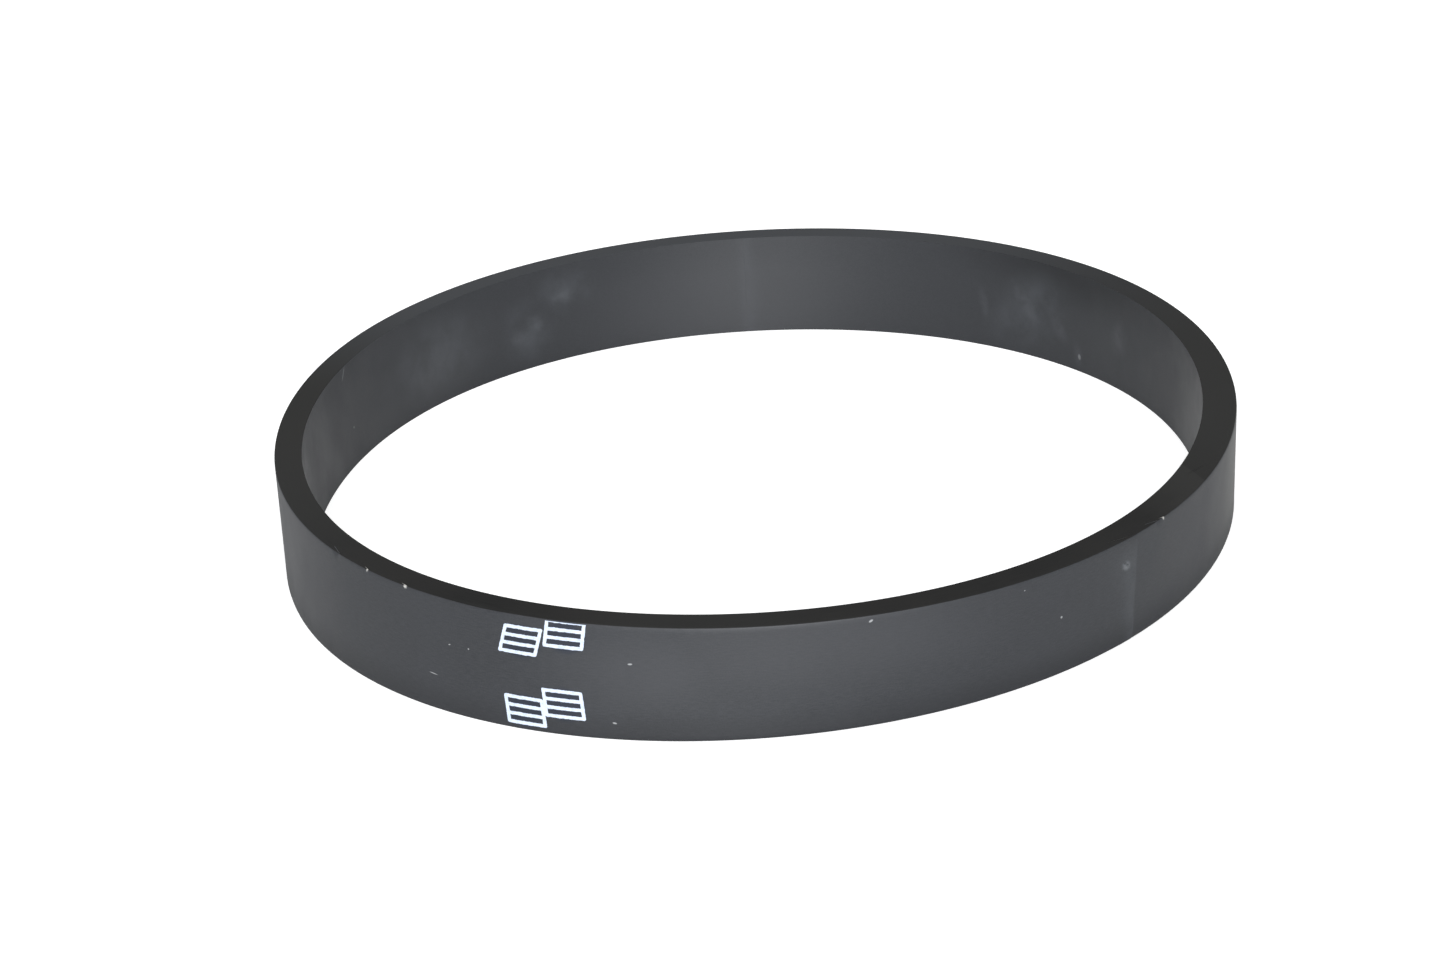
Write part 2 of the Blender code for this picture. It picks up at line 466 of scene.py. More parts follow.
# Painted highlight: broad pale patches at the front and the left end of the outer face, for light
# reflected there
wear_and_painted_highlight = strongest(tree, [
    patch(tree, around, degrees, height, length, breadth)
    for degrees, height, length, breadth in (
        (-103.0, 7.5 * MM, 13 * MM, 7 * MM), (-84.0, 10.0 * MM, 26 * MM, 8 * MM),
        (-158.0, 6.0 * MM, 20 * MM, 12 * MM),
    )
])
colour = tinted(tree, colour, scaled_mask(tree, wear_and_painted_highlight, 0.42), (0.055, 0.057, 0.063, 1))
# Painted highlight: a broad pale patch low on the front right of the outer face, for the floor
# reflected in it
painted_front_highlight = patch(tree, around, -8.0, 7.0 * MM, 25 * MM, 16 * MM)
colour = tinted(tree, colour, scaled_mask(tree, painted_front_highlight, 0.9), (0.130, 0.130, 0.123, 1))
# Painted shade: the outer face darkens towards its foot, where it meets the floor
painted_foot_shade = maths(tree, "SUBTRACT", 1.0, ramp(tree, height_share, 0.05, 0.30))
colour = tinted(tree, colour, scaled_mask(tree, painted_foot_shade, 0.5), (0.015, 0.016, 0.019, 1))
stain = strongest(tree, [
    patch(tree, around, degrees, height, 2.6 * MM, 2.2 * MM, solid=0.6)
    for degrees, height in (
        (-115.0, 9.8 * MM), (-110.2, 11.0 * MM), (-114.8, 2.1 * MM), (-110.6, 3.4 * MM),
    )
])
colour = tinted(tree, colour, scaled_mask(tree, stain, 0.75), (0.008, 0.014, 0.032, 1))
from_line = maths(tree, "SUBTRACT", from_lap, LAP_LENGTH / 2)
smear = place_group(
    tree, streak,
    {
        "Place": place, "From Line": from_line, "Height Share": height_share,
        "Top Breadth": 3.6 * MM, "Foot Breadth": 0.9 * MM, "Line Softness": 0.35 * MM,
    },
).outputs["Mask"]
below_edge = maths(tree, "SUBTRACT", 1.0, ramp(tree, height_share, 0.80, 0.97))
smear = maths(tree, "MULTIPLY", smear, below_edge)
colour = tinted(tree, colour, scaled_mask(tree, smear, 0.11), (0.20, 0.22, 0.24, 1))
blotch = patch(tree, around, -49.5, 9.5 * MM, 1.1 * MM, 0.8 * MM, slant=-25.0)
blotch = maths(tree, "MULTIPLY", blotch, ramp(tree, cloud(tree, place, 0.5 * MM, 3.0), 0.35, 0.6))
colour = tinted(tree, colour, scaled_mask(tree, blotch, 0.35), (0.30, 0.32, 0.34, 1))
dust = place_group(
    tree, flecks,
    {"Place": stretched(tree, place, 9 * MM, 9 * MM, 7 * MM), "Size": 0.014, "Share": 0.30},
).outputs["Mask"]
specks = strongest(tree, [
    patch(tree, around, degrees, height, length, breadth, slant, solid=0.45)
    for degrees, height, length, breadth, slant in (
        (-103.7, 8.55 * MM, 0.30 * MM, 0.13 * MM, 5.0),
        (-105.5, 1.85 * MM, 0.28 * MM, 0.12 * MM, -10.0),
        (-121.2, 7.75 * MM, 0.12 * MM, 0.11 * MM, 0.0),
        (-123.6, 7.70 * MM, 0.18 * MM, 0.08 * MM, 20.0),
        (-125.8, 3.90 * MM, 0.70 * MM, 0.06 * MM, -4.0),
        (-59.0, 6.85 * MM, 0.17 * MM, 0.18 * MM, 0.0),
        (-63.8, 11.6 * MM, 0.12 * MM, 0.07 * MM, 0.0),
        (-80.3, 12.1 * MM, 0.30 * MM, 0.16 * MM, 30.0),
    )
])
colour = tinted(tree, colour, scaled_mask(tree, dust, 0.45), (0.30, 0.31, 0.33, 1))
colour = tinted(tree, colour, scaled_mask(tree, specks, 0.75), (0.42, 0.43, 0.44, 1))
colour = tinted(tree, colour, scaled_mask(tree, scuff, 0.9), (0.62, 0.61, 0.58, 1))
tree.links.new(colour, shader.inputs["Base Color"])
tree.links.new(
    put(tree, "ShaderNodeMapRange", {0: broad, 3: 0.48, 4: 0.54}).outputs[0],
    shader.inputs["Roughness"],
)
relief = put(
    tree, "ShaderNodeBump",
    {"Height": fine.outputs["Height"], "Strength": 0.3, "Distance": 0.03 * MM},
)
tree.links.new(relief.outputs[0], shader.inputs["Normal"])

# Cut edge: sliced with a wet knife, so dull and darker, with faint lines along the cut, and a
# little paler at the two sides and the front with painted light. Where the knife came round to
# its start it left a slanting line and a paler first cut, and the far side is paler with
# painted light.
SIDE_CORE = math.radians(15) * RADIUS
RIGHT_SIDE_END = math.radians(50) * RADIUS
LEFT_SIDE_START = math.radians(125) * RADIUS
PALE_FROM = math.radians(10) * RADIUS
PALE_FULL_FROM = math.radians(75) * RADIUS
PALE_FULL_TO = math.radians(132) * RADIUS
PALE_TO = math.radians(168) * RADIUS
KNIFE_LINE_PLACE = math.radians(-30.4) * RADIUS
KNIFE_LINE_SLANT = 1.18
KNIFE_START_LENGTH = 16 * MM
cut_rubber, tree, shader, place, from_lap, scuff = rubber("cut rubber edge", 0.06)
around = put(tree, "ShaderNodeSeparateXYZ", {0: round_place(tree, place)})
fine = place_group(
    tree, grain, {"Place": place, "Grit Size": 0.10 * MM, "Line Length": 3.0 * MM, "Line Share": 0.6}
)
broad = ramp(tree, cloud(tree, place, 14 * MM, 2.0), 0.3, 0.7)
colour = tinted(tree, (0.018, 0.018, 0.018, 1), fine.outputs["Tone"], (0.025, 0.025, 0.0245, 1))
colour = tinted(tree, colour, scaled_mask(tree, broad, 0.6), (0.031, 0.030, 0.029, 1))
# Painted light: the cut edge is paler at the two sides and the front
from_right = maths(tree, "ABSOLUTE", around.outputs["X"])
right_side = maths(tree, "SUBTRACT", 1.0, ramp(tree, from_right, SIDE_CORE, RIGHT_SIDE_END))
left_side = ramp(tree, from_right, LEFT_SIDE_START, math.pi * RADIUS - SIDE_CORE)
front = patch(tree, round_place(tree, place), -97.0, BELT_WIDTH, 17 * MM, 30 * MM)
painted_light_sides_and_front = strongest(tree, [right_side, left_side, scaled_mask(tree, front, 0.6)])
colour = tinted(tree, colour, scaled_mask(tree, painted_light_sides_and_front, 0.85), (0.036, 0.036, 0.035, 1))
# Painted light: the cut edge is paler on the far side of the belt
past_right = ramp(tree, around.outputs["X"], PALE_FROM, PALE_FULL_FROM)
before_left = maths(tree, "SUBTRACT", 1.0, ramp(tree, around.outputs["X"], PALE_FULL_TO, PALE_TO))
painted_far_light = maths(tree, "MULTIPLY", past_right, before_left)
colour = tinted(tree, colour, painted_far_light, (0.064, 0.067, 0.072, 1))
from_middle = maths(tree, "SUBTRACT", around.outputs["Y"], BELT_THICKNESS / 2)
knife_line = maths(tree, "MULTIPLY_ADD", from_middle, KNIFE_LINE_SLANT, KNIFE_LINE_PLACE)
before_line = maths(tree, "SUBTRACT", knife_line, around.outputs["X"])
first_cut = maths(
    tree, "MULTIPLY", ramp(tree, before_line, -0.05 * MM, 0.1 * MM),
    maths(tree, "SUBTRACT", 1.0, ramp(tree, before_line, 0.0, KNIFE_START_LENGTH)),
)
colour = tinted(tree, colour, scaled_mask(tree, first_cut, 0.30), (0.050, 0.050, 0.048, 1))
colour = tinted(tree, colour, scaled_mask(tree, scuff, 0.9), (0.62, 0.61, 0.58, 1))
tree.links.new(colour, shader.inputs["Base Color"])
shader.inputs["Roughness"].default_value = 0.85
relief = put(
    tree, "ShaderNodeBump",
    {"Height": fine.outputs["Height"], "Strength": 0.4, "Distance": 0.03 * MM},
)
tree.links.new(relief.outputs[0], shader.inputs["Normal"])

# Inner face: smooth off the mandrel, paler at the back and right with painted light, darker at
# the upper right with painted shade under the rim, with clouds of pale bloom, smudges, a
# scratch, small specks and the lap's upright streak
mandrel_rubber, tree, shader, place, from_lap, scuff = rubber("mandrel inner rubber", 0.5)
around = round_place(tree, place)
height_share = maths(
    tree, "DIVIDE", put(tree, "ShaderNodeSeparateXYZ", {0: place}).outputs["Z"], BELT_WIDTH
)
fine = place_group(
    tree, grain, {"Place": place, "Grit Size": 0.14 * MM, "Line Length": 0.4 * MM, "Line Share": 0.3}
)
colour = tinted(tree, (0.023, 0.025, 0.029, 1), fine.outputs["Tone"], (0.031, 0.033, 0.038, 1))
# Painted light: paler patches low on the back of the inner face, for light bounced from the floor
painted_back_light = strongest(tree, [
    patch(tree, around, 93.0, 3.5 * MM, 26 * MM, 11 * MM),
    patch(tree, around, 135.0, 5.5 * MM, 16 * MM, 9 * MM),
])
colour = tinted(tree, colour, scaled_mask(tree, painted_back_light, 0.36), (0.055, 0.057, 0.063, 1))
# Painted light: a pale patch at the right end of the inner face
painted_right_light = patch(tree, around, 2.0, 4.0 * MM, 16 * MM, 14 * MM)
colour = tinted(tree, colour, scaled_mask(tree, painted_right_light, 0.8), (0.085, 0.086, 0.087, 1))
# Painted shade: a darker band under the rim at the upper right of the inner face, where the wall
# shades itself
painted_rim_shade = patch(tree, around, 42.0, 13.0 * MM, 26 * MM, 7 * MM)
colour = tinted(tree, colour, scaled_mask(tree, painted_rim_shade, 0.75), (0.009, 0.010, 0.012, 1))
haze = strongest(tree, [
    patch(tree, around, degrees, height, length, breadth, slant)
    for degrees, height, length, breadth, slant in (
        (135.5, 6.2 * MM, 13 * MM, 6.5 * MM, 0.0),
        (119.5, 5.0 * MM, 6.0 * MM, 5.5 * MM, 40.0),
        (113.5, 9.0 * MM, 6.0 * MM, 4.0 * MM, 0.0),
        (50.0, 6.0 * MM, 10.0 * MM, 6.0 * MM, -35.0),
    )
])
wisps = ramp(tree, cloud(tree, place, 4.0 * MM, 4.0, 0.55), 0.25, 0.75)
haze = maths(tree, "MULTIPLY", haze, wisps)
colour = tinted(tree, colour, scaled_mask(tree, haze, 0.28), (0.11, 0.12, 0.135, 1))
smudges = strongest(tree, [
    patch(tree, around, degrees, height, length, breadth, slant, solid=0.0)
    for degrees, height, length, breadth, slant in (
        (118.2, 5.8 * MM, 1.7 * MM, 1.4 * MM, 40.0),
        (120.8, 4.4 * MM, 2.2 * MM, 2.0 * MM, 10.0),
        (114.0, 8.4 * MM, 2.2 * MM, 1.5 * MM, 10.0),
        (57.3, 5.7 * MM, 1.0 * MM, 2.8 * MM, -12.0),
        (51.0, 7.2 * MM, 1.4 * MM, 4.2 * MM, -42.0),
        (44.8, 4.5 * MM, 1.5 * MM, 3.0 * MM, -40.0),
        (41.3, 2.1 * MM, 1.3 * MM, 2.2 * MM, -15.0),
        (32.7, 6.5 * MM, 2.5 * MM, 3.0 * MM, 0.0),
    )
])
smudges = maths(tree, "MULTIPLY", smudges, ramp(tree, cloud(tree, place, 1.6 * MM, 4.0), 0.2, 0.7))
colour = tinted(tree, colour, scaled_mask(tree, smudges, 0.12), (0.19, 0.20, 0.22, 1))
specks = strongest(tree, [
    patch(tree, around, degrees, height, length, breadth, slant, solid=0.4)
    for degrees, height, length, breadth, slant in (
        (158.0, 11.9 * MM, 0.16 * MM, 1.3 * MM, 45.0),
        (157.1, 4.6 * MM, 0.25 * MM, 0.20 * MM, 0.0),
        (41.0, 1.9 * MM, 0.35 * MM, 0.50 * MM, -15.0),
    )
])
colour = tinted(tree, colour, scaled_mask(tree, specks, 0.35), (0.35, 0.36, 0.37, 1))
smear = place_group(
    tree, streak,
    {
        "Place": place, "From Line": maths(tree, "ADD", from_lap, 2.2 * MM),
        "Height Share": height_share, "Top Breadth": 0.8 * MM, "Foot Breadth": 1.6 * MM,
        "Line Softness": 1.6 * MM,
    },
).outputs["Mask"]
colour = tinted(tree, colour, scaled_mask(tree, smear, 0.08), (0.14, 0.15, 0.17, 1))
colour = tinted(tree, colour, scaled_mask(tree, scuff, 0.8), (0.50, 0.50, 0.50, 1))
tree.links.new(colour, shader.inputs["Base Color"])
broad = ramp(tree, cloud(tree, place, 7 * MM, 3.0), 0.3, 0.7)
tree.links.new(
    put(tree, "ShaderNodeMapRange", {0: broad, 3: 0.44, 4: 0.52}).outputs[0],
    shader.inputs["Roughness"],
)
relief = put(
    tree, "ShaderNodeBump",
    {"Height": fine.outputs["Height"], "Strength": 0.25, "Distance": 0.02 * MM},
)
tree.links.new(relief.outputs[0], shader.inputs["Normal"])

# ---------------------------------------------------------------------------------------------
# The three plies, from the outer face inwards. Each is a flat strip of calendered rubber, its
# two ends skived to a long slope and stuck over each other, wrapped once round the mandrel.
# Cured together they meet without a gap, and the knife that slit the sleeve squared the edges.
# ---------------------------------------------------------------------------------------------
OUTER_LAP_DEGREES = -49.8
PLY_THICKNESS = BELT_THICKNESS / 3
PLY_STEPS = 1400
EDGE_ROUND = 0.12 * MM
LAP_OPENING = 0.03 * MM
SHARP_BEND = 0.9
CUT_FACING = 0.75
INNER_FACING = 0.3
WELD_DISTANCE = 0.002 * MM
ply_tree, given, result = open_tree(
    "wrap a rubber ply", "GeometryNodeTree",
    WALL_SOCKETS + [
        ("Lap Angle", FLOAT), ("Lap Length", FLOAT), ("Lap Opening", FLOAT), ("Lap Lift", FLOAT),
        ("Outer Depth", FLOAT), ("Thickness", FLOAT), ("Outer Round", FLOAT),
        ("Steps Round", INTEGER), ("Spacing", FLOAT), ("Edge Wear", FLOAT),
        ("Outer Finish", MATERIAL), ("Cut Finish", MATERIAL), ("Inner Finish", MATERIAL),
    ],
    [("Geometry", GEOMETRY)],
)
half_thickness = maths(ply_tree, "MULTIPLY", given.outputs["Thickness"], 0.5)
mid_depth = maths(ply_tree, "ADD", given.outputs["Outer Depth"], half_thickness)
half_width = maths(ply_tree, "MULTIPLY", given.outputs["Width"], 0.5)

# The strip's section, its corners rounded only on the belt's outer face
section = put(
    ply_tree, "GeometryNodeCurvePrimitiveQuadrilateral",
    {"Width": given.outputs["Thickness"], "Height": given.outputs["Width"]},
)
corner_side = put(
    ply_tree, "ShaderNodeSeparateXYZ", {0: put(ply_tree, "GeometryNodeInputPosition").outputs[0]}
).outputs["X"]
corner_round = put(
    ply_tree, "GeometryNodeSwitch",
    {
        "Switch": put(ply_tree, "FunctionNodeCompare", {0: corner_side, 1: 0.0}).outputs[0],
        "False": 0.0,
        "True": given.outputs["Outer Round"],
    },
    input_type="FLOAT",
)
rounded = put(
    ply_tree, "GeometryNodeFilletCurve",
    {"Curve": section.outputs[0], "Count": 3, "Radius": corner_round.outputs[0]}, mode="POLY",
)
here = put(ply_tree, "GeometryNodeInputPosition").outputs[0]
next_point = put(
    ply_tree, "GeometryNodeOffsetPointInCurve",
    {"Point Index": put(ply_tree, "GeometryNodeInputIndex").outputs[0], "Offset": 1},
).outputs["Point Index"]
there = put(
    ply_tree, "GeometryNodeFieldAtIndex", {"Index": next_point, "Value": here},
    data_type="FLOAT_VECTOR",
).outputs[0]
run = put(ply_tree, "ShaderNodeVectorMath", {0: here, 1: there}, operation="DISTANCE")
spaces = maths(ply_tree, "DIVIDE", run.outputs["Value"], given.outputs["Spacing"])
cuts = put(ply_tree, "FunctionNodeFloatToInt", {0: spaces}, rounding_mode="FLOOR").outputs[0]
divided = put(ply_tree, "GeometryNodeSubdivideCurve", {"Curve": rounded.outputs[0], "Cuts": cuts})
section_place = put(
    ply_tree, "ShaderNodeCombineXYZ",
    {
        "X": maths(ply_tree, "MULTIPLY", mid_depth, -1.0),
        "Y": maths(ply_tree, "MULTIPLY", half_width, -1.0),
    },
)
section_set = put(
    ply_tree, "GeometryNodeTransform",
    {"Geometry": divided.outputs[0], "Translation": section_place.outputs[0]},
)

# The strip itself, laid out flat along X from its start to its finish
lap_place = maths(
    ply_tree, "MULTIPLY", given.outputs["Lap Angle"], given.outputs["Mean Outside Radius"]
)
strip_length = maths(
    ply_tree, "SUBTRACT",
    maths(ply_tree, "MULTIPLY", given.outputs["Mean Outside Radius"], TURN),
    given.outputs["Lap Opening"],
)
strip_end = maths(ply_tree, "ADD", lap_place, strip_length)
centre_line = put(
    ply_tree, "GeometryNodeCurvePrimitiveLine",
    {
        "Start": put(ply_tree, "ShaderNodeCombineXYZ", {"X": lap_place}).outputs[0],
        "End": put(ply_tree, "ShaderNodeCombineXYZ", {"X": strip_end}).outputs[0],
    },
)
stepped = put(
    ply_tree, "GeometryNodeResampleCurve",
    {"Curve": centre_line.outputs[0], "Count": given.outputs["Steps Round"]},
)
strip = put(
    ply_tree, "GeometryNodeCurveToMesh",
    {"Curve": stepped.outputs[0], "Profile Curve": section_set.outputs[0], "Fill Caps": True},
)

# Skive the ends: the outer side slides forward and the inner side back by half the lap
flat = put(
    ply_tree, "ShaderNodeSeparateXYZ", {0: put(ply_tree, "GeometryNodeInputPosition").outputs[0]}
)
inwards = maths(
    ply_tree, "DIVIDE", maths(ply_tree, "SUBTRACT", flat.outputs["Y"], mid_depth),
    given.outputs["Thickness"],
)
slide = maths(ply_tree, "MULTIPLY", given.outputs["Lap Length"], inwards)
along = maths(ply_tree, "SUBTRACT", flat.outputs["X"], slide)
to_finish = maths(ply_tree, "SUBTRACT", strip_end, flat.outputs["X"])
finish_near = put(
    ply_tree, "ShaderNodeMapRange",
    {0: to_finish, 1: 0.0, 2: given.outputs["Lap Length"], 3: 1.0, 4: 0.0},
    interpolation_type="SMOOTHSTEP",
).outputs[0]
outer_share = maths(ply_tree, "SUBTRACT", 0.5, inwards)
lift = maths(
    ply_tree, "MULTIPLY", given.outputs["Lap Lift"],
    maths(ply_tree, "MULTIPLY", finish_near, outer_share),
)
depth = maths(ply_tree, "SUBTRACT", flat.outputs["Y"], lift)
laid = put(ply_tree, "ShaderNodeCombineXYZ", {"X": along, "Y": depth, "Z": flat.outputs["Z"]})
skived = put(
    ply_tree, "GeometryNodeSetPosition",
    {"Geometry": strip.outputs[0], "Position": laid.outputs[0]},
)

# Wear on the upper outer edge: two notches, one long worn stretch, and small burrs of torn
# rubber that stand proud
WEAR_REACH = 0.30 * MM
RAGGEDNESS = 0.02 * MM
BURR_HEIGHT = 0.09 * MM
edge = put(
    ply_tree, "ShaderNodeSeparateXYZ", {0: put(ply_tree, "GeometryNodeInputPosition").outputs[0]}
)
from_top = maths(ply_tree, "SUBTRACT", given.outputs["Width"], edge.outputs["Z"])
corner_gap = put(
    ply_tree, "ShaderNodeVectorMath",
    {0: put(ply_tree, "ShaderNodeCombineXYZ", {"Y": edge.outputs["Y"], "Z": from_top}).outputs[0]},
    operation="LENGTH",
)
reaches = maths(ply_tree, "DIVIDE", corner_gap.outputs["Value"], WEAR_REACH)
near_edge = maths(
    ply_tree, "EXPONENT", maths(ply_tree, "MULTIPLY", maths(ply_tree, "POWER", reaches, 2.0), -1.0)
)
near_edge = maths(ply_tree, "MULTIPLY", near_edge, given.outputs["Edge Wear"])


def bump_along(degrees, half_length):
    """1 at an angle on the strip, falling to nothing past its half length."""
    if degrees < OUTER_LAP_DEGREES:
        degrees = degrees + 360
    away = maths(ply_tree, "SUBTRACT", edge.outputs["X"], math.radians(degrees) * RADIUS)
    lengths = maths(ply_tree, "POWER", maths(ply_tree, "DIVIDE", away, half_length), 2.0)
    return maths(ply_tree, "EXPONENT", maths(ply_tree, "MULTIPLY", lengths, -1.0))


ragged = put(
    ply_tree, "ShaderNodeTexNoise",
    {
        "Vector": put(ply_tree, "ShaderNodeCombineXYZ", {"X": edge.outputs["X"]}).outputs[0],
        "Scale": 1 / (1.1 * MM), "Detail": 3.0,
    },
)
cut_in = maths(
    ply_tree, "MULTIPLY", maths(ply_tree, "SUBTRACT", ragged.outputs["Fac"], 0.5), RAGGEDNESS
)
for degrees, half_length, notch_depth in (
    (-142.0, 0.50 * MM, 0.16 * MM), (-119.5, 2.60 * MM, 0.12 * MM), (-44.0, 0.40 * MM, 0.12 * MM),
):
    notch = maths(ply_tree, "MULTIPLY", bump_along(degrees, half_length), notch_depth)
    cut_in = maths(ply_tree, "ADD", cut_in, notch)
burrs = 0.0
for degrees, half_length in (
    (-135.8, 0.22 * MM), (-129.6, 0.36 * MM), (-43.0, 0.24 * MM),
):
    burrs = maths(ply_tree, "MAXIMUM", burrs, bump_along(degrees, half_length))
moved = maths(ply_tree, "SUBTRACT", cut_in, maths(ply_tree, "MULTIPLY", burrs, BURR_HEIGHT))
moved = maths(ply_tree, "MULTIPLY", moved, near_edge)
wear_and_painted_highlight = put(
    ply_tree, "GeometryNodeSetPosition",
    {
        "Geometry": skived.outputs[0],
        "Offset": put(
            ply_tree, "ShaderNodeCombineXYZ",
            {"Y": moved, "Z": maths(ply_tree, "MULTIPLY", moved, -1.0)},
        ).outputs[0],
    },
)
torn = put(
    ply_tree, "GeometryNodeStoreNamedAttribute",
    {
        "Geometry": wear_and_painted_highlight.outputs[0], "Name": "scuff",
        "Value": maths(ply_tree, "MULTIPLY", burrs, near_edge),
    },
    data_type="FLOAT", domain="POINT",
)

# Keep the flat place and the distance from the lap for the finishes
placed = put(
    ply_tree, "GeometryNodeStoreNamedAttribute",
    {
        "Geometry": torn.outputs[0],
        "Name": "strip_place",
        "Value": put(ply_tree, "GeometryNodeInputPosition").outputs[0],
    },
    data_type="FLOAT_VECTOR", domain="POINT",
)
here = put(ply_tree, "GeometryNodeInputPosition").outputs[0]
here_along = put(ply_tree, "ShaderNodeSeparateXYZ", {0: here}).outputs["X"]
past_start = maths(ply_tree, "SUBTRACT", here_along, lap_place)
wrapped = put(
    ply_tree, "ShaderNodeMath",
    {
        0: past_start,
        1: maths(ply_tree, "MULTIPLY", strip_length, 0.5),
        2: maths(ply_tree, "MULTIPLY", strip_length, -0.5),
    },
    operation="WRAP",
).outputs[0]
lap_known = put(
    ply_tree, "GeometryNodeStoreNamedAttribute",
    {"Geometry": placed.outputs[0], "Name": "from_lap", "Value": wrapped},
    data_type="FLOAT", domain="POINT",
)

# Finishes: the cut edges face up or down in the flat strip, the outer face looks to -Y
facing = put(
    ply_tree, "ShaderNodeSeparateXYZ", {0: put(ply_tree, "GeometryNodeInputNormal").outputs[0]}
)
is_cut = put(
    ply_tree, "FunctionNodeCompare",
    {0: maths(ply_tree, "ABSOLUTE", facing.outputs["Z"]), 1: CUT_FACING},
).outputs[0]
is_inner = put(
    ply_tree, "FunctionNodeCompare", {0: facing.outputs["Y"], 1: INNER_FACING}
).outputs[0]
finished = put(
    ply_tree, "GeometryNodeSetMaterial",
    {"Geometry": lap_known.outputs[0], "Material": given.outputs["Outer Finish"]},
)
finished = put(
    ply_tree, "GeometryNodeSetMaterial",
    {
        "Geometry": finished.outputs[0], "Selection": is_inner,
        "Material": given.outputs["Inner Finish"],
    },
)
finished = put(
    ply_tree, "GeometryNodeSetMaterial",
    {
        "Geometry": finished.outputs[0], "Selection": is_cut,
        "Material": given.outputs["Cut Finish"],
    },
)
bend_node = ply_tree.nodes.new("GeometryNodeGroup")
bend_node.node_tree = bend
for name in WALL:
    ply_tree.links.new(given.outputs[name], bend_node.inputs[name])
ply_tree.links.new(
    put(ply_tree, "GeometryNodeInputPosition").outputs[0], bend_node.inputs["Flat Place"]
)
wrapped_ply = put(
    ply_tree, "GeometryNodeSetPosition",
    {"Geometry": finished.outputs[0], "Position": bend_node.outputs[0]},
)
welded = put(
    ply_tree, "GeometryNodeMergeByDistance",
    {"Geometry": wrapped_ply.outputs[0], "Distance": WELD_DISTANCE},
)
smooth = put(ply_tree, "GeometryNodeSetShadeSmooth", {"Geometry": welded.outputs[0]})
bend_at_edge = put(ply_tree, "GeometryNodeInputMeshEdgeAngle").outputs["Unsigned Angle"]
sharp = put(
    ply_tree, "GeometryNodeSetShadeSmooth",
    {
        "Geometry": smooth.outputs[0],
        "Selection": put(
            ply_tree, "FunctionNodeCompare", {0: bend_at_edge, 1: SHARP_BEND}
        ).outputs[0],
        "Shade Smooth": False,
    },
    domain="EDGE",
)
realized = put(ply_tree, "GeometryNodeRealizeInstances", {"Geometry": sharp.outputs[0]})
ply_tree.links.new(realized.outputs[0], result.inputs["Geometry"])

plies = {}
for layer, (node_name, lap_degrees, spacing, lap_lift) in enumerate((
    ("outer_ply", OUTER_LAP_DEGREES, 0.5 * MM, 0.03 * MM),
    ("middle_ply", -29.8, 1.0 * MM, 0.0),
    ("inner_ply", 91.4, 0.5 * MM, 0.0),
)):
    plies[node_name] = made_by(
        ply_tree, node_name + "_rubber", bpy.data.meshes.new("flat_strip"),
        {
            **WALL,
            "Lap Angle": math.radians(lap_degrees),
            "Lap Length": LAP_LENGTH,
            "Lap Opening": LAP_OPENING,
            "Lap Lift": lap_lift,
            "Outer Depth": layer * PLY_THICKNESS,
            "Thickness": PLY_THICKNESS,
            "Outer Round": EDGE_ROUND if node_name == "outer_ply" else 0.0,
            "Steps Round": PLY_STEPS,
            "Spacing": spacing,
            "Edge Wear": 1.0 if node_name == "outer_ply" else 0.0,
            "Outer Finish": ground_rubber,
            "Cut Finish": cut_rubber,
            "Inner Finish": mandrel_rubber,
        },
    )
for node_name, piece in plies.items():
    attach(piece, "root")
    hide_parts(node_name)

# ---------------------------------------------------------------------------------------------
# The four printed marks: each a ladder of three cells stamped in chalky bluish-white ink.
# The stamp is soft, so the strokes have rounded ends, uneven edges and thin spots.
# The upper right one was stamped across the line where the knife then slit the sleeve.
# ---------------------------------------------------------------------------------------------
chalky_ink = bpy.data.materials.new("chalky printed ink")
chalky_ink.use_nodes = True
tree = chalky_ink.node_tree
shader = tree.nodes["Principled BSDF"]
shader.inputs["Roughness"].default_value = 0.75
shader.inputs["Specular IOR Level"].default_value = 0.2
place = put(tree, "ShaderNodeAttribute", attribute_name="strip_place").outputs["Vector"]
thin = ramp(tree, cloud(tree, place, 0.5 * MM, 3.0, 0.6), 0.45, 0.75)
colour = tinted(tree, (0.66, 0.74, 0.90, 1), scaled_mask(tree, thin, 0.45), (0.30, 0.34, 0.42, 1))
tree.links.new(colour, shader.inputs["Base Color"])

stamp_tree, given, result = open_tree(
    "stamped ladder", "GeometryNodeTree",
    WALL_SOCKETS + [
        ("Angle", FLOAT), ("Lowest", FLOAT), ("Lean", FLOAT), ("Length", FLOAT),
        ("Stroke", FLOAT), ("Cell Height", FLOAT), ("Cells", INTEGER), ("Top Limit", FLOAT),
        ("Unevenness", FLOAT), ("Film", FLOAT), ("Fineness", FLOAT), ("Ink", MATERIAL),
    ],
    [("Geometry", GEOMETRY)],
)
rail_gap = maths(stamp_tree, "SUBTRACT", given.outputs["Length"], given.outputs["Stroke"])
pitch = maths(stamp_tree, "ADD", given.outputs["Cell Height"], given.outputs["Stroke"])
rung_reach = maths(stamp_tree, "MULTIPLY", pitch, given.outputs["Cells"])
full_height = maths(stamp_tree, "ADD", rung_reach, given.outputs["Stroke"])
middle = maths(
    stamp_tree, "ADD", given.outputs["Lowest"], maths(stamp_tree, "MULTIPLY", full_height, 0.5)
)
stand_up = put(stamp_tree, "ShaderNodeCombineXYZ", {"Z": middle}).outputs[0]


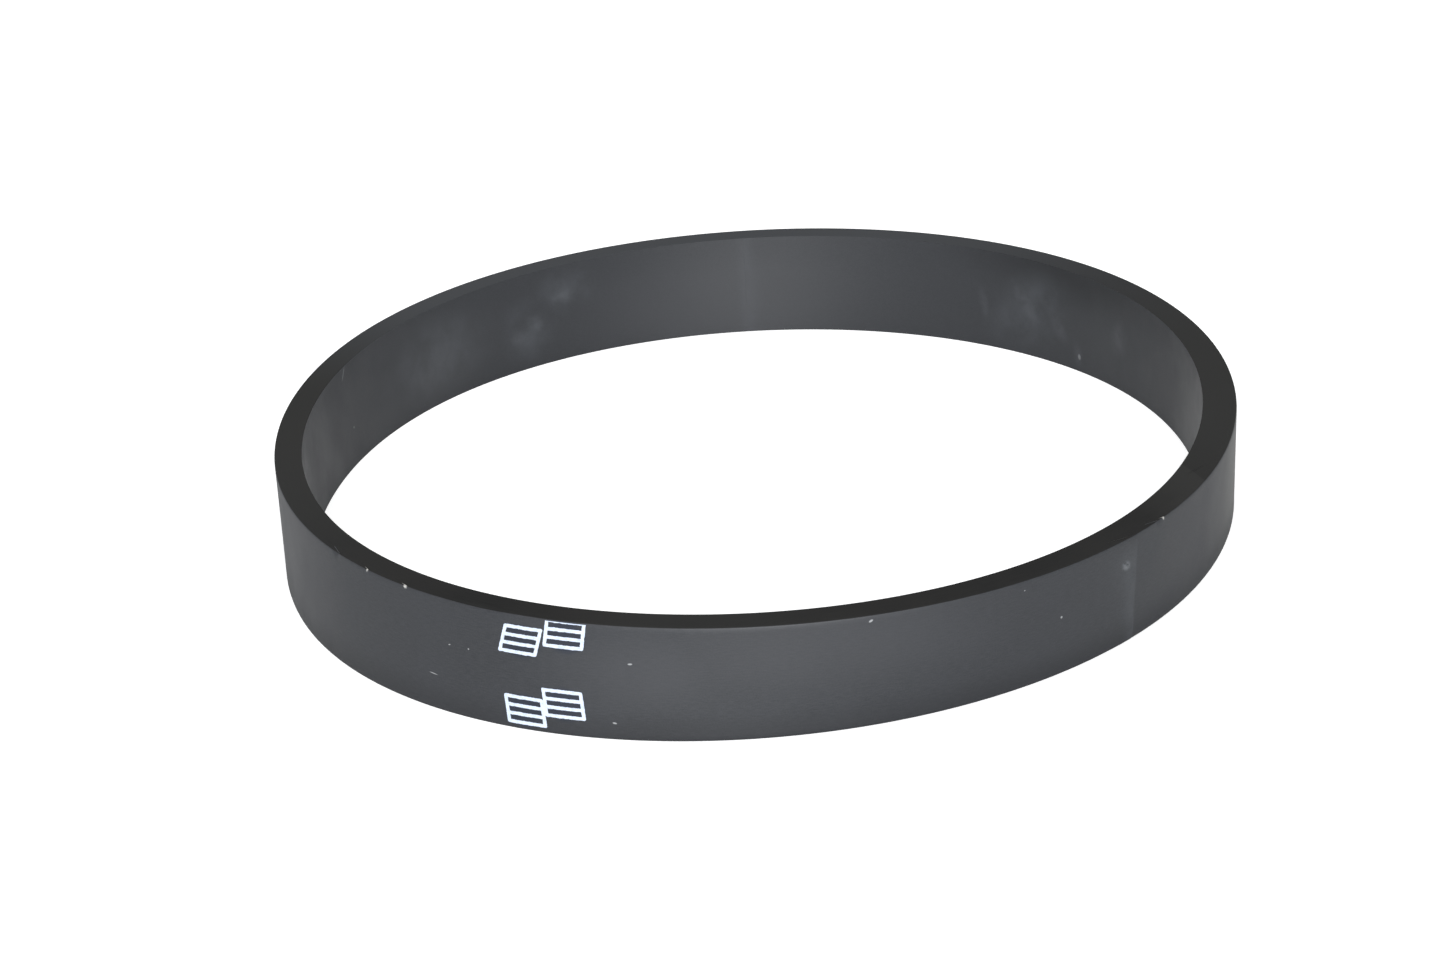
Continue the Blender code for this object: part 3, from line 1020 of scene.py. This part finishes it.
def upright_grid(size_x, size_y, count_x, count_y):
    """A grid that stands upright in the flat strip, at the mark's height."""
    grid = put(
        stamp_tree, "GeometryNodeMeshGrid",
        {"Size X": size_x, "Size Y": size_y, "Vertices X": count_x, "Vertices Y": count_y},
    )
    raised = put(
        stamp_tree, "GeometryNodeTransform",
        {"Geometry": grid.outputs[0], "Translation": stand_up, "Rotation": (TURN / 4, 0, 0)},
    )
    return raised.outputs[0]


rungs = maths(stamp_tree, "ADD", given.outputs["Cells"], 1.0)
ladder = upright_grid(rail_gap, rung_reach, 2, rungs)
room_x = maths(stamp_tree, "ADD", given.outputs["Length"], given.outputs["Stroke"])
room_z = maths(stamp_tree, "ADD", full_height, given.outputs["Stroke"])
across = maths(stamp_tree, "DIVIDE", room_x, given.outputs["Fineness"])
upward = maths(stamp_tree, "DIVIDE", room_z, given.outputs["Fineness"])
field = upright_grid(room_x, room_z, across, upward)
here = put(stamp_tree, "GeometryNodeInputPosition").outputs[0]
nearest = put(
    stamp_tree, "GeometryNodeProximity",
    {"Geometry": ladder, "Source Position": here}, target_element="EDGES",
)
blots = put(
    stamp_tree, "ShaderNodeTexNoise", {"Vector": here, "Scale": 1 / (0.45 * MM), "Detail": 2.0}
).outputs["Fac"]
swell = maths(
    stamp_tree, "MULTIPLY", maths(stamp_tree, "SUBTRACT", blots, 0.5), given.outputs["Unevenness"]
)
half_stroke = maths(
    stamp_tree, "ADD", maths(stamp_tree, "MULTIPLY", given.outputs["Stroke"], 0.5), swell
)
outside = put(
    stamp_tree, "FunctionNodeCompare", {0: nearest.outputs["Distance"], 1: half_stroke}
).outputs[0]
inked = put(
    stamp_tree, "GeometryNodeDeleteGeometry", {"Geometry": field, "Selection": outside},
    domain="FACE", mode="ALL",
)
edge_faces = put(stamp_tree, "GeometryNodeInputMeshEdgeNeighbors").outputs[0]
on_rim_edge = put(
    stamp_tree, "FunctionNodeCompare", {2: edge_faces, 3: 1}, data_type="INT", operation="EQUAL"
).outputs[0]
on_rim = put(
    stamp_tree, "GeometryNodeFieldOnDomain", {0: on_rim_edge}, data_type="BOOLEAN", domain="EDGE"
).outputs[0]
away = put(
    stamp_tree, "ShaderNodeVectorMath", {0: here, 1: nearest.outputs["Position"]},
    operation="SUBTRACT",
)
direction = put(stamp_tree, "ShaderNodeVectorMath", {0: away.outputs[0]}, operation="NORMALIZE")
offset = put(
    stamp_tree, "ShaderNodeVectorMath", {0: direction.outputs[0], "Scale": half_stroke},
    operation="SCALE",
)
on_stroke_edge = put(
    stamp_tree, "ShaderNodeVectorMath", {0: nearest.outputs["Position"], 1: offset.outputs[0]},
    operation="ADD",
)
crisp = put(
    stamp_tree, "GeometryNodeSetPosition",
    {"Geometry": inked.outputs[0], "Selection": on_rim, "Position": on_stroke_edge.outputs[0]},
)
too_high = put(
    stamp_tree, "FunctionNodeCompare",
    {
        0: put(stamp_tree, "ShaderNodeSeparateXYZ", {0: here}).outputs["Z"],
        1: given.outputs["Top Limit"],
    },
).outputs[0]
slit = put(
    stamp_tree, "GeometryNodeDeleteGeometry",
    {"Geometry": crisp.outputs[0], "Selection": too_high}, domain="FACE", mode="ALL",
)
film = put(
    stamp_tree, "GeometryNodeExtrudeMesh",
    {"Mesh": slit.outputs[0], "Offset": (0.0, -1.0, 0.0), "Offset Scale": given.outputs["Film"],
     "Individual": False},
)
base = put(stamp_tree, "GeometryNodeFlipFaces", {0: slit.outputs[0]})
closed = put(stamp_tree, "GeometryNodeJoinGeometry")
stamp_tree.links.new(film.outputs[0], closed.inputs[0])
stamp_tree.links.new(base.outputs[0], closed.inputs[0])
welded = put(
    stamp_tree, "GeometryNodeMergeByDistance",
    {"Geometry": closed.outputs[0], "Distance": WELD_DISTANCE},
)
flat = put(stamp_tree, "ShaderNodeSeparateXYZ", {0: here})
climb = maths(stamp_tree, "SUBTRACT", flat.outputs["Z"], given.outputs["Lowest"])
slant = maths(stamp_tree, "MULTIPLY", climb, given.outputs["Lean"])
centre = maths(
    stamp_tree, "MULTIPLY", given.outputs["Angle"], given.outputs["Mean Outside Radius"]
)
along = maths(stamp_tree, "ADD", maths(stamp_tree, "ADD", flat.outputs["X"], slant), centre)
sunk_share = maths(stamp_tree, "MULTIPLY", given.outputs["Film"], 0.3)
sunk = maths(stamp_tree, "ADD", flat.outputs["Y"], sunk_share)
laid = put(stamp_tree, "ShaderNodeCombineXYZ", {"X": along, "Y": sunk, "Z": flat.outputs["Z"]})
set_down = put(
    stamp_tree, "GeometryNodeSetPosition", {"Geometry": welded.outputs[0], "Position": laid.outputs[0]}
)
placed = put(
    stamp_tree, "GeometryNodeStoreNamedAttribute",
    {"Geometry": set_down.outputs[0], "Name": "strip_place", "Value": here},
    data_type="FLOAT_VECTOR", domain="POINT",
)
bend_node = stamp_tree.nodes.new("GeometryNodeGroup")
bend_node.node_tree = bend
for name in WALL:
    stamp_tree.links.new(given.outputs[name], bend_node.inputs[name])
stamp_tree.links.new(here, bend_node.inputs["Flat Place"])
stamped = put(
    stamp_tree, "GeometryNodeSetPosition",
    {"Geometry": placed.outputs[0], "Position": bend_node.outputs[0]},
)
realized = put(stamp_tree, "GeometryNodeRealizeInstances", {"Geometry": stamped.outputs[0]})
inked = put(
    stamp_tree, "GeometryNodeSetMaterial",
    {"Geometry": realized.outputs[0], "Material": given.outputs["Ink"]},
)
stamp_tree.links.new(inked.outputs[0], result.inputs["Geometry"])

MARK_LENGTH = 4.4 * MM
MARK_STROKE = 0.38 * MM
MARK_CELL_HEIGHT = 0.55 * MM
SLIT_MARGIN = 0.14 * MM
MARK_CELLS = 3
INK_FILM = 0.03 * MM
INK_UNEVENNESS = 0.16 * MM
INK_FINENESS = 0.05 * MM
marks = {}
for node_name, mark_degrees, lowest, mark_lean in (
    ("print_mark_upper_left", -115.5, 8.35 * MM, 0.26),
    ("print_mark_upper_right", -110.5, 9.65 * MM, 0.14),
    ("print_mark_lower_left", -114.6, 0.55 * MM, -0.12),
    ("print_mark_lower_right", -110.5, 1.85 * MM, -0.10),
):
    marks[node_name] = made_by(
        stamp_tree, node_name + "_ink", bpy.data.meshes.new("blank_stamp"),
        {
            **WALL,
            "Angle": math.radians(mark_degrees),
            "Lowest": lowest,
            "Lean": mark_lean,
            "Length": MARK_LENGTH,
            "Stroke": MARK_STROKE,
            "Cell Height": MARK_CELL_HEIGHT,
            "Cells": MARK_CELLS,
            "Top Limit": BELT_WIDTH - SLIT_MARGIN,
            "Unevenness": INK_UNEVENNESS,
            "Film": INK_FILM,
            "Fineness": INK_FINENESS,
            "Ink": chalky_ink,
        },
    )
for node_name, piece in marks.items():
    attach(piece, "root")
    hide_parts(node_name)
